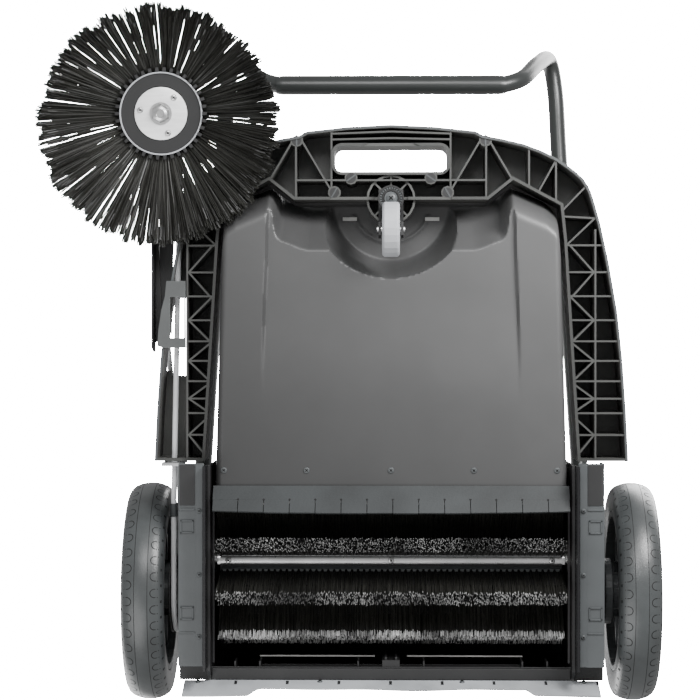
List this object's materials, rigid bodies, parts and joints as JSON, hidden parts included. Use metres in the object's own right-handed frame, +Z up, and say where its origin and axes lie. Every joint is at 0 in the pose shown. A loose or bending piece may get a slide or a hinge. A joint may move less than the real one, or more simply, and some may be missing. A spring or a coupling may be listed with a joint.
{
  "type": "walk behind sweeper",
  "caption": "Push sweeper with a geared roller brush, a belt driven side brush, a front waste tub, a swivel caster and a tube handle folded forward over the machine.",
  "frame": {"origin": "middle of the machine's footprint, on the ground", "axes": "+Z up, the front faces -Y, +X is the operator's left"},
  "size_m": [0.848, 0.9701, 0.4721],
  "materials": {
    "black_plastic": "textured black plastic",
    "grey_plastic": "mid grey satin plastic",
    "cover_plastic": "dark grey plastic",
    "rubber": "grey black rubber",
    "seal_rubber": "light grey rubber",
    "flap_rubber": "grey rubber",
    "steel": "bright zinc plated steel",
    "bracket_steel": "grey sheet steel",
    "tube_paint": "dark grey satin paint",
    "belt_plastic": "light grey plastic",
    "bristle": "black bristles"
  },
  "bodies": {
    "chassis": {"main_frame": "black_plastic", "roller_housing": "black_plastic", "top_deck": "black_plastic", "handle_bracket_right": "black_plastic", "handle_bracket_left": "black_plastic", "rear_seal_clamp": "cover_plastic", "belt_sleeve": "cover_plastic", "side_cover_right": "cover_plastic", "side_cover_left": "cover_plastic", "side_skirt_right": "rubber", "side_skirt_left": "rubber", "rear_seal": "seal_rubber", "wheel_axle_right": "steel", "wheel_axle_left": "steel", "roller_bearing_right": "steel", "roller_bearing_left": "steel", "handle_pivot_right": "steel", "handle_pivot_left": "steel", "caster_pin": "steel", "arm_pivot": "steel", "brush_bracket": "bracket_steel", "drive_belt": "belt_plastic", "belt_guide": "belt_plastic"},
    "wheel_right": {"rim_right": "cover_plastic", "tyre_right": "rubber", "hub_cap_right": "black_plastic", "belt_pulley": "black_plastic", "drive_gear_right": "belt_plastic"},
    "wheel_left": {"rim_left": "cover_plastic", "tyre_left": "rubber", "hub_cap_left": "black_plastic"},
    "left_gear": {"drive_gear_left": "belt_plastic"},
    "roller": {"roller_shaft": "steel", "roller_core_rear": "black_plastic", "roller_core_front": "black_plastic", "roller_bristles_rear": "bristle", "roller_bristles_front": "bristle", "roller_clamp_bar_a": "steel", "roller_clamp_bar_b": "steel", "roller_pinion_right": "belt_plastic", "roller_pinion_left": "belt_plastic"},
    "brush_arm": {"brush_arm": "black_plastic", "arm_cover": "black_plastic"},
    "side_brush": {"side_brush_spindle": "black_plastic", "side_brush_disc": "black_plastic", "side_brush_bristles": "bristle", "side_brush_clamp_plate": "steel", "side_brush_nut": "steel"},
    "caster_yoke": {"caster_fork": "black_plastic", "caster_axle": "steel"},
    "caster_roll": {"caster_wheel": "belt_plastic"},
    "tub": {"waste_tub": "grey_plastic", "tub_lid": "black_plastic", "tub_flap": "flap_rubber", "flap_clamp": "cover_plastic"},
    "bail": {"tub_bail": "steel"},
    "handle": {"handle_tube": "tube_paint", "handle_grip": "tube_paint"},
    "height_knob": {"roller_height_knob": "cover_plastic"}
  },
  "joints": [
    {"name": "right_wheel_spin", "type": "hinge", "parent": "chassis", "child": "wheel_right", "pos_m": [-0.2815, 0.3365, 0.152], "axis": [1, 0, 0], "continuous": true},
    {"name": "left_wheel_spin", "type": "hinge", "parent": "chassis", "child": "wheel_left", "pos_m": [0.3905, 0.3365, 0.152], "axis": [1, 0, 0], "continuous": true},
    {"name": "left_gear_spin", "type": "hinge", "parent": "chassis", "child": "left_gear", "pos_m": [0.3235, 0.3365, 0.152], "axis": [1, 0, 0], "continuous": true},
    {"name": "roller_spin", "type": "hinge", "parent": "chassis", "child": "roller", "pos_m": [0.0545, 0.2885, 0.12316], "axis": [1, 0, 0], "continuous": true},
    {"name": "brush_arm_lift", "type": "hinge", "parent": "chassis", "child": "brush_arm", "pos_m": [-0.2655, -0.0215, 0.121], "axis": [-1, 0, 0], "range_deg": [0, 4], "deforming": ["drive_belt", "side_brush_bristles"]},
    {"name": "side_brush_spin", "type": "hinge", "parent": "brush_arm", "child": "side_brush", "pos_m": [-0.2625, -0.3285, 0.075], "axis": [0, -0.1045, 0.9945], "continuous": true},
    {"name": "caster_swivel", "type": "hinge", "parent": "chassis", "child": "caster_yoke", "pos_m": [0.0545, -0.2105, 0.075], "axis": [0, 0, 1], "continuous": true},
    {"name": "caster_wheel_spin", "type": "hinge", "parent": "caster_yoke", "child": "caster_roll", "pos_m": [0.0545, -0.1665, 0.0375], "axis": [1, 0, 0], "continuous": true},
    {"name": "tub_lift", "type": "slide", "parent": "chassis", "child": "tub", "axis": [0, -0.4512, 0.8924], "range_m": [0, 0.15], "deforming": ["tub_flap"]},
    {"name": "bail_lift", "type": "hinge", "parent": "tub", "child": "bail", "pos_m": [0.0545, 0.0065, 0.274], "axis": [-1, 0, 0], "range_deg": [0, 95]},
    {"name": "handle_fold", "type": "hinge", "parent": "chassis", "child": "handle", "pos_m": [0.0545, 0.3565, 0.27], "axis": [-1, 0, 0], "range_deg": [0, 112]},
    {"name": "height_knob_turn", "type": "hinge", "parent": "chassis", "child": "height_knob", "pos_m": [-0.1355, 0.2765, 0.275], "axis": [0, 0, 1], "range_deg": [0, 300]}
  ],
  "couplings": [
    {"joint": "left_gear_spin", "follows": "right_wheel_spin", "ratio": 1},
    {"joint": "roller_spin", "follows": "right_wheel_spin", "ratio": -1.8},
    {"joint": "side_brush_spin", "follows": "right_wheel_spin", "ratio": 2.2}
  ]
}
